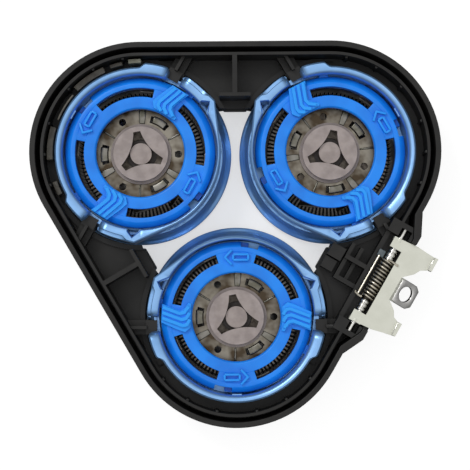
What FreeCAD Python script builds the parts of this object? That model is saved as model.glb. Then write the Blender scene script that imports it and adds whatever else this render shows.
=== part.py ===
import FreeCAD, Part
import math
import os

# Three-head rotary shaver unit, shaving side down on z = 0, inner side up.
# Sizes are in millimetres. Head c is at the front (-Y), a and b are behind it.
# A head's own frame has +Y to the middle of the unit; the side with the hinge has
# X straight out of the unit and Y along the side.

# Retaining ring of a head
retainer_radius = 11.85
retainer_edge_chamfer = 0.8
retainer_top_z = 8.6
retainer_plate = 1.5
retainer_foot_wall = 1.1
retainer_foot_span = 20.0
retainer_foot_angles = (0, 90, 180, 270)
retainer_seat_gap = 0.05
outer_band = 1.6
window_width = 1.4
inner_band = 1.9
window_spans = ((17, 72), (108, 168), (197, 252), (288, 348))
unlock_turn = 18.0
tongue_span = 7.0
tongue_reach = 0.4
tongue_height = 0.8
tongue_clearance = 0.12
edge_notch_spans = ((72, 86), (252, 266))
edge_notch_depth = 1.2
edge_notch_drop = 0.7

# Its two raised grips, as (distance in from the ring's edge, distance along)
grip_height = 1.0
grip_outline = ((0.25, 2.2), (2.45, 1.37), (3.25, 1.5), (3.85, 2.2), (4.75, 2.2),
                (4.75, -1.9), (4.15, -2.3), (3.35, -2.25), (0.1, -0.7))
grip_groove = ((0.55, 1.45), (3.55, -0.45), (4.45, 0.7), (4.45, -0.3), (3.65, -1.3), (0.55, 0.45))
grip_groove_depth = 0.3

# Its two small raised arrows, which point the way that unlocks it
arrow_reach = 1.6
arrow_half_height = 1.05
arrow_stroke = 0.5
arrow_shaft = 2.1
arrow_relief = 0.2
arrow_shift = 0.1

# Head holder ring
holder_play = 0.3
holder_wall = 0.75
holder_rim = 1.15
holder_flat_wall = 0.5
holder_corner_wall = 2.15
holder_corner_angle = 26.0
lug_wall = 1.85
lug_span = 12.5
lug_edge_round = 0.6
edge_slack = 0.05
skirt_flare = 1.4
skirt_lip = 0.8
skirt_lip_z = 2.5
skirt_step = 0.25
skirt_widest_z = 1.7
holder_front_z = 0.5
waist_z = 4.4
rim_seat_z = 8.0
holder_top_z = 10.2
pivot_gap_width = 3.1
detent_angle = 270.0
detent_span = 7.0
detent_reach = 0.18
detent_z = (8.0, 9.3)
corner_notch_angles = (20.5, 24.5, 31.0)
corner_notch_depth = 1.25

# Layout of the three heads, and how far each one's cutter happens to be turned
head_gap = 1.3
hinge_side_angle = 330.0
rotor_angles = {"a": 0.0, "b": -21.0, "c": 0.0}
tilt_axis_offset = 1.5
tilt_axis_height = 6.0

# Outer shell
pocket_clearance = 0.6
shell_land = 2.2
shell_wall = 0.9
shell_front_z = 2.6
front_plate = 1.2
rim_z = 11.5
shell_draft = 0.7
front_edge_round = 1.0
opening_edge = 15.6

# Support frame inside the shell
frame_groove = 0.75
frame_wall = 0.45
frame_wall_top_drop = 0.5
frame_fit = 0.02
deck_thickness = 0.9
deck_edge_setback = 0.3
lip_height = 0.6
lip_top_z = 5.6
lip_clearance = 0.15
lip_arc = (212.0, 328.0)
rib_thickness = 0.75
t_bar_half_length = 2.45
t_bar_thickness = 0.55
t_bar_from_edge = 1.9
wall_rib_angles = (-50, -31, -12, 12, 31, 50)
wall_rib_width = 0.4
wall_rib_depth = 0.25
wall_rib_drop = 1.0

# Pivot arms and pins that carry the heads
pivot_pin_radius = 0.8
pivot_bore_clearance = 0.06
pivot_arm_half_width = 1.15
pivot_arm_half_height = 1.3
pivot_rib_thickness = 0.5
pivot_rib_top = 9.6
pivot_end_gap = 0.15

# Guard cap
cap_from_ring_edge = 1.55
cap_wall = 0.5
cap_track_width = 4.1
cap_ear_z = 4.15
cap_ear_thickness = 0.65
cap_ear_width = 1.2
cap_ear_span = 40.0
cap_centre_recess = 0.2
cap_clearance = 0.2
cap_slots = 36
cap_slot_width = 0.35
cap_slot_margin = 0.2
cap_pivot_radius = 1.2
cap_pivot_height = 1.3

# Cutter wheel
cutter_side_gap = 1.1
cutter_plate_z = 5.0
cutter_plate = 0.5
cutter_track_width = 0.6
cutter_blades = 9
cutter_arm_length = 1.5
blade_width = 1.6
blade_lean = 25.0
blade_running_gap = 0.03
square_hole = 0.8
curved_slot_width = 1.1
curved_slot_start = 45.0
curved_slot_span = 30.0

# Lifter star under the cutter
lifter_thickness = 0.2
lifter_gap = 0.1
lifter_finger_width = 0.9
lifter_finger_length = 1.2
lifter_finger_lift = 0.15
lifter_blade_gap = 0.3

# Cutter hub with its drive socket
hub_radius = 4.35
hub_top_z = 7.0
hub_collar = 0.45
hub_collar_height = 0.5
hub_foot_radius = 2.4
hub_running_gap = 0.05
hub_press_gap = 0.02
socket_depth = 2.4
socket_flat_radius = 1.75
socket_tip_radius = 3.55
socket_tip_width = 1.1
socket_plateau_radius = 1.7
socket_plateau_drop = 0.55
socket_angle = 100.0

# Hinge on the side between heads b and c
hinge_inset = 0.88
hinge_shift = 0.9
hinge_axis_z = 9.6
pin_radius = 0.5
pin_clearance = 0.03
pin_end_gap = 0.1
plate_thickness = 0.5
plate_half_length = 7.35
plate_half_window = 5.6
plate_notch_reach = 3.05
plate_notch_half = 1.95
plate_shoulder_depth = 1.5
plate_shoulder_rise = 1.3
plate_tab_depth = 2.0
plate_skew = 0.08
plate_corner_cut = 0.5
plate_coil_gap = 0.1
ear_inner_reach = 0.95
ear_thickness = 0.5
ear_lobe_radius = 1.05
tab_half_span = 5.75
tab_width = 2.2
tab_height = 1.2
loop_length = 3.9
loop_half_outer = 1.4
loop_root_half = 2.0
loop_chamfer = 0.8
loop_bar = 0.75
loop_drop_angle = 30.0

# Spring and bushes on the hinge pin
coil_radius = 0.85
wire_radius = 0.14
coil_turns = 11.5
coil_facets = 14
coil_half_length = 3.5
bush_radius = 0.75
bush_length = 1.8
bush_gap = 0.1
leg_out = 1.65
long_leg = 6.2
short_leg = 1.1

# Boss of the shell and frame that holds the hinge
boss_depth = 1.67
boss_half_length = 9.2
boss_taper = 3.4
boss_fit_gap = 0.05
boss_stop_gap = 0.1
trough_half = 1.75
trough_depth = 1.75
cheek_start = 7.6
cheek_end_wall = 0.8
pocket_length = 1.4
pocket_in = 0.65
pocket_out = 1.1

# Steps between the hinge and the frame's inner edge, as (out, length, start, end, top)
step_from_edge = 0.5
hinge_steps = ((0.0, 2.3, -0.2, 1.9, 8.6), (0.0, 2.0, -2.3, -0.4, 7.6))
rib_rows = ((0.6, 1.3, 9.2), (-2.9, -2.2, 8.2))
rib_columns = ((2.6, 8.2), (4.2, 7.0))
rib_column_width = 0.6
rib_row_start = 2.6
rib_column_span = (-2.9, 3.4)

# Derived places
window_outer = retainer_radius - outer_band
window_inner = window_outer - window_width
retainer_bore = window_inner - inner_band
holder_bore = retainer_radius + holder_play
waist_radius = holder_bore + holder_wall
holder_outer_arc = holder_bore + holder_rim
holder_flat_radius = holder_bore + holder_flat_wall
holder_corner_radius = holder_bore + holder_corner_wall
lug_radius = holder_bore + lug_wall
skirt_radius = waist_radius + skirt_flare
head_spacing = 2 * skirt_radius + head_gap
pitch_radius = head_spacing / math.sqrt(3)
side_angles = [hinge_side_angle + turn for turn in (-240, -120)]
head_angles = {head: hinge_side_angle + turn for head, turn in (("a", -180), ("b", -300), ("c", -60))}
to_origin = FreeCAD.Vector(0, pitch_radius / 4, 0)
pocket_radius = skirt_radius + pocket_clearance
corner_radius = pocket_radius + shell_land
side_out = pitch_radius / 2 + corner_radius
shell_floor_z = shell_front_z + front_plate
frame_wall_outer = corner_radius - shell_wall - frame_groove
frame_wall_inner = frame_wall_outer - frame_wall
frame_top_z = rim_z - frame_wall_top_drop
deck_top_z = shell_floor_z + deck_thickness
cap_radius = retainer_radius - cap_from_ring_edge
cap_inner = cap_radius - cap_wall
cap_track_inner = cap_radius - cap_track_width
cap_ear_top = cap_ear_z + cap_ear_thickness
cutter_radius = cap_inner - cutter_side_gap
cutter_root = cutter_radius - cutter_arm_length
cutter_middle = (hub_radius + cutter_root) / 2
cutter_top_z = cutter_plate_z + cutter_plate
blade_foot_z = cap_wall + blade_running_gap
hub_collar_radius = hub_radius + hub_collar
retainer_plate_z = retainer_top_z - retainer_plate
grip_top_z = retainer_top_z + grip_height
hinge_out = side_out - hinge_inset
boss_out = side_out + boss_depth
plate_z = hinge_axis_z + pin_radius
plate_top_z = plate_z + plate_thickness
plate_notch_edge = hinge_out + plate_notch_reach
plate_shoulder = plate_notch_edge + plate_shoulder_depth
plate_outer = plate_shoulder + plate_tab_depth
ear_end = plate_half_length - ear_thickness
coil_edge = hinge_out + coil_radius + wire_radius + plate_coil_gap
cheek_far = cheek_start + pocket_length + cheek_end_wall
far = 4 * head_spacing


def at(radius, angle, z=0.0):
    """Point at a radius and an angle in degrees."""
    turn = math.radians(angle)
    return FreeCAD.Vector(radius * math.cos(turn), radius * math.sin(turn), z)


def turned(shape, angle):
    """Copy of a shape, turned about the Z axis."""
    copy = shape.copy()
    copy.rotate(FreeCAD.Vector(0, 0, 0), FreeCAD.Vector(0, 0, 1), angle)
    return copy


def moved(shape, x=0.0, y=0.0, z=0.0):
    copy = shape.copy()
    copy.translate(FreeCAD.Vector(x, y, z))
    return copy


def block(x0, x1, y0, y1, z0, z1):
    return Part.makeBox(x1 - x0, y1 - y0, z1 - z0, FreeCAD.Vector(x0, y0, z0))


def disc(radius, z0, z1, x=0.0, y=0.0):
    return Part.makeCylinder(radius, z1 - z0, FreeCAD.Vector(x, y, z0))


def ring(inner, outer, z0, z1):
    return disc(outer, z0, z1).cut(disc(inner, z0, z1))


def prism(points, z0, z1):
    """Straight-sided column over a polygon."""
    corners = [FreeCAD.Vector(x, y, z0) for x, y in points]
    face = Part.Face(Part.makePolygon(corners + corners[:1]))
    return face.extrude(FreeCAD.Vector(0, 0, z1 - z0))


def turned_profile(points):
    """Solid of revolution about Z of a polygon of (radius, z)."""
    corners = [FreeCAD.Vector(r, 0, z) for r, z in points]
    face = Part.Face(Part.makePolygon(corners + corners[:1]))
    return face.revolve(FreeCAD.Vector(0, 0, 0), FreeCAD.Vector(0, 0, 1), 360)


def arc_edge(radius, start, end, z):
    middle = at(radius, (start + end) / 2, z)
    return Part.Arc(at(radius, start, z), middle, at(radius, end, z)).toShape()


def arc_block(inner, outer, start, end, z0, z1):
    """Piece of a ring between two angles, with radial ends."""
    edges = [arc_edge(outer, start, end, z0),
             Part.makeLine(at(outer, end, z0), at(inner, end, z0)),
             arc_edge(inner, start, end, z0),
             Part.makeLine(at(inner, start, z0), at(outer, start, z0))]
    face = Part.Face(Part.Wire(Part.__sortEdges__(edges)))
    return face.extrude(FreeCAD.Vector(0, 0, z1 - z0))


def fused(shapes):
    return shapes[0].multiFuse(shapes[1:]).removeSplitter()


def head_outline(radius, z):
    """Rounded triangle: the band of one radius round the three head axes."""
    edges = []
    for angle in sorted(head_angles.values()):
        centre = at(pitch_radius, angle)
        ends = [centre + at(radius, angle + turn, z) for turn in (-60, 0, 60)]
        edges.append(Part.Arc(*ends).toShape())
        following = at(pitch_radius, angle + 120) + at(radius, angle + 60, z)
        edges.append(Part.makeLine(ends[2], following))
    return Part.Wire(edges)


def head_column(radius, z0, z1):
    return Part.Face(head_outline(radius, z0)).extrude(FreeCAD.Vector(0, 0, z1 - z0))


def head_centres():
    return [at(pitch_radius, angle) for angle in head_angles.values()]


def head_pockets(radius, z0, z1):
    """Three round columns on the head axes."""
    return fused([disc(radius, z0, z1, c.x, c.y) for c in head_centres()])


def centre_opening(edge_distance, z0, z1):
    """Triangle between the heads, closed off inside the pockets."""
    corners = [at(2 * edge_distance, angle) for angle in sorted(head_angles.values())]
    triangle = prism([(c.x, c.y) for c in corners], z0, z1)
    return triangle.common(disc(pitch_radius + pocket_radius / 2, z0, z1))


def on_hinge_side(shape):
    """From the side's own frame (X out, Y along) to the cluster."""
    return turned(shape, hinge_side_angle)


def boss_outline(inset):
    """Bulge of the shell outside the straight side, in the side's frame."""
    half = boss_half_length - inset
    foot = boss_half_length + boss_taper - inset
    inner = side_out - corner_radius / 2
    return [(inner, hinge_shift - foot), (side_out - inset, hinge_shift - foot),
            (boss_out - inset, hinge_shift - half), (boss_out - inset, hinge_shift + half),
            (side_out - inset, hinge_shift + foot), (inner, hinge_shift + foot)]


def pin_along(radius, start, end):
    """Round bar on the hinge axis, in the side's frame."""
    foot = FreeCAD.Vector(hinge_out, hinge_shift + start, hinge_axis_z)
    return Part.makeCylinder(radius, end - start, foot, FreeCAD.Vector(0, 1, 0))


# Outer shell

def make_outer_shell():
    lower = corner_radius - shell_draft
    sections = [head_outline(lower - front_edge_round, shell_front_z),
                head_outline(lower, shell_front_z + front_edge_round),
                head_outline(corner_radius, rim_z)]
    body = Part.makeLoft(sections, True, True)
    boss = on_hinge_side(prism(boss_outline(0.0), shell_front_z, rim_z))
    inside = head_column(corner_radius - shell_wall, shell_floor_z, rim_z)
    boss_inside = on_hinge_side(prism(boss_outline(shell_wall), shell_floor_z, rim_z))
    shell = body.fuse(boss).cut(fused([inside, boss_inside]))
    shell = shell.cut(head_pockets(pocket_radius, 0, rim_z))
    shell = shell.cut(centre_opening(opening_edge, 0, rim_z))
    sill = block(hinge_out, far, hinge_shift - cheek_start, hinge_shift + cheek_start,
                 plate_z - boss_stop_gap, far)
    return shell.cut(on_hinge_side(sill)).removeSplitter()


# Support frame

def make_t_rib():
    """Rib from the side wall to a short cross bar, in the side's frame."""
    bar_out = opening_edge + t_bar_from_edge
    wall_out = pitch_radius / 2 + frame_wall_outer
    stem = block(bar_out, wall_out, -rib_thickness / 2, rib_thickness / 2, shell_floor_z, frame_top_z)
    bar = block(bar_out - t_bar_thickness / 2, bar_out + t_bar_thickness / 2,
                -t_bar_half_length, t_bar_half_length, shell_floor_z, frame_top_z)
    return stem.fuse(bar)


def make_pivot_arm(side):
    """Arm, rib and pin that carry one side of a head, in the head's frame."""
    tip = waist_radius + pivot_end_gap
    end = corner_radius + pitch_radius / 2
    y = -tilt_axis_offset
    arm = block(tip, end, y - pivot_arm_half_width, y + pivot_arm_half_width,
                tilt_axis_height - pivot_arm_half_height, tilt_axis_height + pivot_arm_half_height)
    rib = block(lug_radius, end, y - pivot_rib_thickness / 2, y + pivot_rib_thickness / 2,
                shell_floor_z, pivot_rib_top)
    pin = Part.makeCylinder(pivot_pin_radius, end - holder_bore - pivot_end_gap,
                            FreeCAD.Vector(holder_bore + pivot_end_gap, y, tilt_axis_height),
                            FreeCAD.Vector(1, 0, 0))
    shape = fused([arm, rib, pin])
    if side < 0:
        shape = shape.mirror(FreeCAD.Vector(0, 0, 0), FreeCAD.Vector(1, 0, 0))
    return shape


def make_wall_ribs():
    """Short upright ribs on the inside of the frame's wall at the corners."""
    ribs = []
    for angle in head_angles.values():
        centre = at(pitch_radius, angle)
        for turn in wall_rib_angles:
            rib = block(frame_wall_inner - wall_rib_depth, frame_wall_inner + frame_wall / 2,
                        -wall_rib_width / 2, wall_rib_width / 2, shell_floor_z,
                        frame_top_z - wall_rib_drop)
            ribs.append(moved(turned(rib, angle + turn), centre.x, centre.y))
    return ribs


def make_head_lips():
    """Thin lips of the deck that close the gap round each head, under its lugs' level."""
    low = lip_top_z - lip_height
    lips = []
    for angle in head_angles.values():
        centre = at(pitch_radius, angle)
        start, end = lip_arc
        wide = ring(holder_corner_radius + lip_clearance, frame_wall_inner + frame_wall / 2,
                    low, lip_top_z)
        near = arc_block(holder_outer_arc + lip_clearance, frame_wall_inner, start, end,
                         low, lip_top_z)
        lip = turned(wide.fuse(near), angle - 270)
        lips.append(moved(lip, centre.x, centre.y))
    return lips


def make_hinge_boss():
    """Cheeks, trough and wall that carry the hinge, in the side's frame."""
    wall_in = hinge_out - trough_half - rib_thickness
    outer = boss_out - shell_wall
    trough_z = hinge_axis_z - trough_depth
    pieces = [block(wall_in, outer, hinge_shift - cheek_start, hinge_shift + cheek_start,
                    trough_z - deck_thickness, trough_z),
              block(wall_in, wall_in + rib_thickness, hinge_shift - cheek_start,
                    hinge_shift + cheek_start, shell_floor_z, hinge_axis_z - pin_radius)]
    for side in (-1, 1):
        near = hinge_shift + side * cheek_start
        end = hinge_shift + side * cheek_far
        cheek = block(wall_in, outer, min(near, end), max(near, end), shell_floor_z, frame_top_z)
        pocket_end = near + side * pocket_length
        pocket = block(hinge_out - pocket_in, hinge_out + pocket_out, min(near, pocket_end),
                       max(near, pocket_end), trough_z, rim_z)
        pieces.append(cheek.cut(pocket))
    bore = pin_along(pin_radius + pin_clearance, -cheek_far, cheek_far)
    inside = prism(boss_outline(shell_wall + boss_fit_gap), shell_floor_z, rim_z)
    return fused(pieces).cut(bore).common(inside)


def make_hinge_steps():
    """Steps and crossed ribs between the hinge trough and the frame's inner edge."""
    edge = opening_edge + step_from_edge
    wall_in = hinge_out - trough_half - rib_thickness
    steps = [block(edge + out, edge + out + length, start, end, shell_floor_z, top)
             for out, length, start, end, top in hinge_steps]
    steps += [block(edge + rib_row_start, wall_in, start, end, shell_floor_z, top)
              for start, end, top in rib_rows]
    start, end = rib_column_span
    steps += [block(edge + out, edge + out + rib_column_width, start, end, shell_floor_z, top)
              for out, top in rib_columns]
    return [moved(step, y=hinge_shift) for step in steps]


def make_support_frame():
    middle_radius = (frame_wall_outer + frame_wall_inner) / 2
    wall = head_column(frame_wall_outer, shell_floor_z, frame_top_z)
    wall = wall.cut(head_column(frame_wall_inner, shell_floor_z, frame_top_z))
    inside = head_column(middle_radius, shell_floor_z, frame_top_z)
    pieces = [wall]
    for angle in side_angles:
        pieces.append(turned(make_t_rib(), angle))
    for name, angle in head_angles.items():
        centre = at(pitch_radius, angle)
        for side in (-1, 1):
            arm = turned(make_pivot_arm(side), angle - 270)
            pieces.append(moved(arm, centre.x, centre.y).common(inside))
    pieces += make_wall_ribs()
    pieces += [on_hinge_side(step) for step in make_hinge_steps()]
    pieces.append(head_column(middle_radius, shell_floor_z, deck_top_z))
    frame = fused(pieces)
    frame = frame.cut(head_pockets(frame_wall_inner - frame_fit, 0, deck_top_z))
    lips = [lip.common(inside) for lip in make_head_lips()]
    frame = fused([frame] + lips)
    frame = frame.cut(centre_opening(opening_edge + deck_edge_setback, 0, rim_z))
    wall_out = pitch_radius / 2 + frame_wall_outer
    hinge_room = block(hinge_out - trough_half - rib_thickness, wall_out + frame_groove,
                       hinge_shift - cheek_far, hinge_shift + cheek_far, 0, far)
    frame = frame.cut(on_hinge_side(hinge_room))
    return fused([frame, on_hinge_side(make_hinge_boss())])


# Head holder ring

def gap_angle():
    return math.degrees(math.asin(tilt_axis_offset / (waist_radius + pivot_end_gap)))


def half_gap_angle():
    return math.degrees(math.asin(pivot_gap_width / 2 / (waist_radius + pivot_end_gap)))


def make_outer_wall():
    """Upright wall on the outer side, with a thick lug at each end."""
    start = 180 + gap_angle() + half_gap_angle()
    end = 360 - gap_angle() - half_gap_angle()
    pieces = [arc_block(holder_bore, holder_outer_arc, start, end, waist_z, holder_top_z)]
    for first in (start, end - lug_span):
        pieces.append(arc_block(holder_bore, lug_radius, first, first + lug_span, waist_z, holder_top_z))
    return fused(pieces)


def make_inner_wall():
    """Upright wall on the inner side: an arc with straight sides out to two corners."""
    tangent = holder_corner_angle + math.degrees(math.acos(holder_flat_radius / holder_corner_radius))
    lug_start = half_gap_angle() - gap_angle()
    z = waist_z
    stops = [at(lug_radius, lug_start, z), at(lug_radius, lug_span, z),
             at(holder_corner_radius, holder_corner_angle, z), at(holder_flat_radius, tangent, z)]
    mirrored = [FreeCAD.Vector(-p.x, p.y, p.z) for p in stops]
    lug_middle = at(lug_radius, (lug_start + lug_span) / 2, z)
    edges = [Part.Arc(stops[0], lug_middle, stops[1]).toShape(),
             Part.makeLine(stops[1], stops[2]), Part.makeLine(stops[2], stops[3]),
             arc_edge(holder_flat_radius, tangent, 180 - tangent, z),
             Part.makeLine(mirrored[3], mirrored[2]), Part.makeLine(mirrored[2], mirrored[1]),
             Part.Arc(mirrored[1], FreeCAD.Vector(-lug_middle.x, lug_middle.y, z), mirrored[0]).toShape(),
             Part.makeLine(mirrored[0], stops[0])]
    wall = Part.Face(Part.Wire(edges)).extrude(FreeCAD.Vector(0, 0, holder_top_z - z))
    return wall.cut(disc(holder_bore, 0, far))


def round_lugs(holder):
    """Round the upright outer edges of the four lugs beside the pivot gaps."""
    edges = []
    for edge in holder.Edges:
        centre = edge.CenterOfMass
        radius = math.hypot(centre.x, centre.y)
        upright = edge.BoundBox.ZLength > holder_top_z - waist_z - edge_slack
        on_edge = abs(radius - lug_radius) < edge_slack and edge.BoundBox.XLength < edge_slack
        if upright and on_edge:
            edges.append(edge)
    return holder.makeFillet(lug_edge_round, edges)


def make_corner_notch(side):
    """Three-cornered opening between the round bore and a corner of the inner wall."""
    first, apex, last = corner_notch_angles
    corners = [at(holder_bore - holder_play, first), at(holder_bore + holder_play, first),
               at(holder_bore + corner_notch_depth, apex), at(holder_bore - holder_play, last)]
    return prism([(side * c.x, c.y) for c in corners], 0, far)


def make_head_ring():
    opening = cap_radius + cap_clearance
    lip_radius = skirt_radius - skirt_lip
    base = turned_profile([(opening, holder_front_z), (skirt_radius - skirt_lip, holder_front_z),
                           (skirt_radius, skirt_widest_z - skirt_step), (skirt_radius, skirt_widest_z),
                           (lip_radius, skirt_lip_z - skirt_step), (lip_radius, skirt_lip_z),
                           (waist_radius, waist_z),
                           (holder_bore, waist_z), (holder_bore, cap_ear_z), (opening, cap_ear_z)])
    walls = round_lugs(fused([make_outer_wall(), make_inner_wall()]))
    y = -tilt_axis_offset
    half = pivot_gap_width / 2 + holder_play
    webs = block(-waist_radius, waist_radius, y - half, y + half, waist_z, rim_seat_z)
    webs = webs.common(ring(holder_bore, waist_radius, waist_z, rim_seat_z))
    tooth = arc_block(holder_bore - detent_reach, holder_bore + holder_flat_wall,
                      detent_angle - detent_span / 2, detent_angle + detent_span / 2, *detent_z)
    holder = fused([base, walls, webs, tooth])
    cuts = []
    for side in (-1, 1):
        bore = Part.makeCylinder(pivot_pin_radius + pivot_bore_clearance, skirt_radius,
                                 FreeCAD.Vector(0, y, tilt_axis_height), FreeCAD.Vector(side, 0, 0))
        unlocked = 270 + side * (90 - gap_angle())
        travel = arc_block(holder_bore - holder_play, holder_bore + tongue_reach + tongue_clearance,
                           unlocked - unlock_turn - tongue_span / 2 - 1, unlocked + tongue_span / 2 + 1,
                           retainer_plate_z - tongue_clearance, rim_seat_z)
        cuts += [bore, make_corner_notch(side), travel]
    return holder.cut(fused(cuts)).removeSplitter()


# Guard cap, lifter, cutter and hub

def make_guard_cap():
    """Slotted steel cup with a centre pin inside and four ears on its rim."""
    pin_top = cap_wall + cap_pivot_height
    cup = turned_profile([(0, cap_centre_recess), (cap_track_inner - cap_wall, cap_centre_recess),
                          (cap_track_inner, 0), (cap_radius, 0), (cap_radius, cap_ear_top),
                          (cap_inner, cap_ear_top), (cap_inner, cap_wall),
                          (cap_pivot_radius, cap_wall), (cap_pivot_radius, pin_top), (0, pin_top)])
    ears = []
    for angle in retainer_foot_angles:
        start = angle - unlock_turn / 2
        ears.append(arc_block(cap_inner, cap_radius + cap_ear_width, start, start + cap_ear_span,
                              cap_ear_z, cap_ear_top))
    slot = block(cap_track_inner + cap_slot_margin, cap_inner - cap_slot_margin,
                 -cap_slot_width / 2, cap_slot_width / 2, -cap_wall, 2 * cap_wall)
    slots = [turned(slot, 360 * i / cap_slots) for i in range(cap_slots)]
    return fused([cup] + ears).cut(Part.makeCompound(slots))


def star_outline(root, tip, half_width):
    """Stamped star: one straight-sided arm for each blade, straight edges between."""
    points = []
    for i in range(cutter_blades):
        for x, y in ((root, -half_width), (tip, -half_width), (tip, half_width), (root, half_width)):
            corner = turned(Part.Vertex(x, y, 0), 360 * i / cutter_blades).Point
            points.append((corner.x, corner.y))
    return points


def make_cutter():
    """Steel wheel with leaning blades bent down from its arms."""
    half = blade_width / 2
    plate = prism(star_outline(cutter_root, cutter_radius, half), cutter_plate_z, cutter_top_z)
    lean = (cutter_top_z - blade_foot_z) * math.tan(math.radians(blade_lean))
    corners = [FreeCAD.Vector(cutter_radius - cutter_track_width, y, z)
               for y, z in ((-half - lean, blade_foot_z), (half - lean, blade_foot_z),
                            (half, cutter_top_z), (-half, cutter_top_z))]
    blade = Part.Face(Part.makePolygon(corners + corners[:1]))
    blade = blade.extrude(FreeCAD.Vector(cutter_track_width, 0, 0))
    blades = [turned(blade, 360 * i / cutter_blades) for i in range(cutter_blades)]
    cuts = [disc(hub_radius, 0, far)]
    for i in range(3):
        hole = block(cutter_middle - square_hole / 2, cutter_middle + square_hole / 2,
                     -square_hole / 2, square_hole / 2, 0, far)
        slot = arc_block(cutter_middle - curved_slot_width / 2, cutter_middle + curved_slot_width / 2,
                         curved_slot_start, curved_slot_start + curved_slot_span, 0, far)
        cuts += [turned(hole, 120 * i), turned(slot, 120 * i)]
    return fused([plate] + blades).cut(Part.makeCompound(cuts))


def make_lifter():
    """Spring star: a thin star with one bent finger in front of each blade."""
    top = cutter_plate_z - lifter_gap
    tip = cutter_radius - cutter_track_width - lifter_blade_gap
    half = lifter_finger_width / 2
    star = prism(star_outline(tip - lifter_finger_length, tip, half), top - lifter_thickness, top)
    finger = block(tip - lifter_thickness, tip, -half, half, cap_wall + lifter_finger_lift, top)
    fingers = [turned(finger, 360 * i / cutter_blades) for i in range(cutter_blades)]
    return fused([star] + fingers).cut(disc(hub_foot_radius + hub_running_gap, 0, far))


def make_socket():
    """Three-cornered drive socket with blunt tips and a round plateau in the middle."""
    half = socket_tip_width / 2
    edges = []
    for i in range(3):
        turn = socket_angle + 120 * i
        across = at(half, turn + 90)
        left = at(socket_tip_radius, turn) + across
        right = at(socket_tip_radius, turn) - across
        following = at(socket_tip_radius, turn + 120) - at(half, turn + 210)
        edges.append(Part.makeLine(right, left))
        edges.append(Part.Arc(left, at(socket_flat_radius, turn + 60), following).toShape())
    face = Part.Face(Part.Wire(edges))
    recess = moved(face.extrude(FreeCAD.Vector(0, 0, socket_depth)), z=hub_top_z - socket_depth)
    plateau = disc(socket_plateau_radius, 0, hub_top_z - socket_plateau_drop)
    return recess.cut(plateau)


def make_hub():
    """Grey hub: a foot on the cap's centre pin, the cutter's seat and the drive head."""
    foot_z = cap_wall + hub_running_gap
    bore = cap_pivot_radius + hub_running_gap
    bore_top = foot_z + cap_pivot_height
    seat = hub_radius - hub_press_gap
    collar_top = cutter_top_z + hub_collar_height
    hub = turned_profile([(bore, foot_z), (hub_foot_radius, foot_z), (hub_foot_radius, cutter_plate_z),
                          (seat, cutter_plate_z), (seat, cutter_top_z),
                          (hub_collar_radius, cutter_top_z), (hub_collar_radius, collar_top),
                          (seat, collar_top), (seat, hub_top_z),
                          (0, hub_top_z), (0, bore_top), (bore, bore_top)])
    return hub.cut(make_socket())


# Retaining ring

def make_grip():
    """Raised grip with a chevron groove, on the ring's left side."""
    outline = [(-retainer_radius + inward, along) for inward, along in grip_outline]
    groove = [(-retainer_radius + inward, along) for inward, along in grip_groove]
    grip = prism(outline, retainer_plate_z, grip_top_z)
    grip = grip.cut(prism(groove, grip_top_z - grip_groove_depth, far))
    return grip.common(ring(retainer_bore, retainer_radius, 0, far))


def make_arrow():
    """Raised arrow at the ring's back, pointing to -X, with its shaft apart from its head."""
    y = (window_inner + window_outer) / 2 - arrow_shift
    stroke = arrow_stroke * math.sqrt(2)
    tip = -arrow_reach
    neck = tip + arrow_half_height
    head = prism([(tip, y), (neck, y + arrow_half_height), (neck + stroke, y + arrow_half_height),
                  (tip + stroke, y), (neck + stroke, y - arrow_half_height),
                  (neck, y - arrow_half_height)], retainer_plate_z, retainer_top_z + arrow_relief)
    shaft_start = tip + 2 * stroke
    shaft = block(shaft_start, shaft_start + arrow_shaft, y - arrow_stroke / 2, y + arrow_stroke / 2,
                  retainer_plate_z, retainer_top_z + arrow_relief)
    return [head, shaft]


def make_retaining_ring():
    """Bayonet ring: windows, grips, feet on the cap's ears and two locking tongues."""
    foot_z = cap_ear_top + retainer_seat_gap
    chamfer = retainer_edge_chamfer
    body = turned_profile([(retainer_bore, retainer_plate_z), (retainer_radius, retainer_plate_z),
                           (retainer_radius, retainer_top_z - chamfer),
                           (retainer_radius - chamfer, retainer_top_z), (retainer_bore, retainer_top_z)])
    cuts = [arc_block(window_inner, window_outer, start, end, 0, far) for start, end in window_spans]
    for start, end in edge_notch_spans:
        cuts.append(arc_block(retainer_radius - edge_notch_depth, retainer_radius + chamfer, start, end,
                              retainer_top_z - edge_notch_drop, far))
    pieces = [body.cut(Part.makeCompound(cuts))]
    for turn in (0, 180):
        pieces += [turned(shape, turn) for shape in [make_grip()] + make_arrow()]
    for angle in retainer_foot_angles:
        pieces.append(arc_block(retainer_radius - retainer_foot_wall, retainer_radius,
                                angle - retainer_foot_span / 2, angle + retainer_foot_span / 2,
                                foot_z, retainer_plate_z + tongue_height))
    for unlocked in (180 + gap_angle(), 360 - gap_angle()):
        locked = unlocked - unlock_turn
        pieces.append(arc_block(retainer_radius - holder_play, holder_bore + tongue_reach,
                                locked - tongue_span / 2, locked + tongue_span / 2,
                                retainer_plate_z, retainer_plate_z + tongue_height))
    return fused(pieces)


# Hinge plate, pin, spring and bushes

def skewed(out, along):
    """The plate's outer end stands a little to one side of its ears."""
    return (out, along + plate_skew * (out - hinge_out))


def make_tab(side):
    """Tab bent up at the plate's outer edge."""
    middle = skewed(plate_outer, side * tab_half_span)[1]
    return block(plate_outer - plate_thickness, plate_outer, middle - tab_width / 2,
                 middle + tab_width / 2, plate_z, plate_top_z + tab_height)


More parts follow.
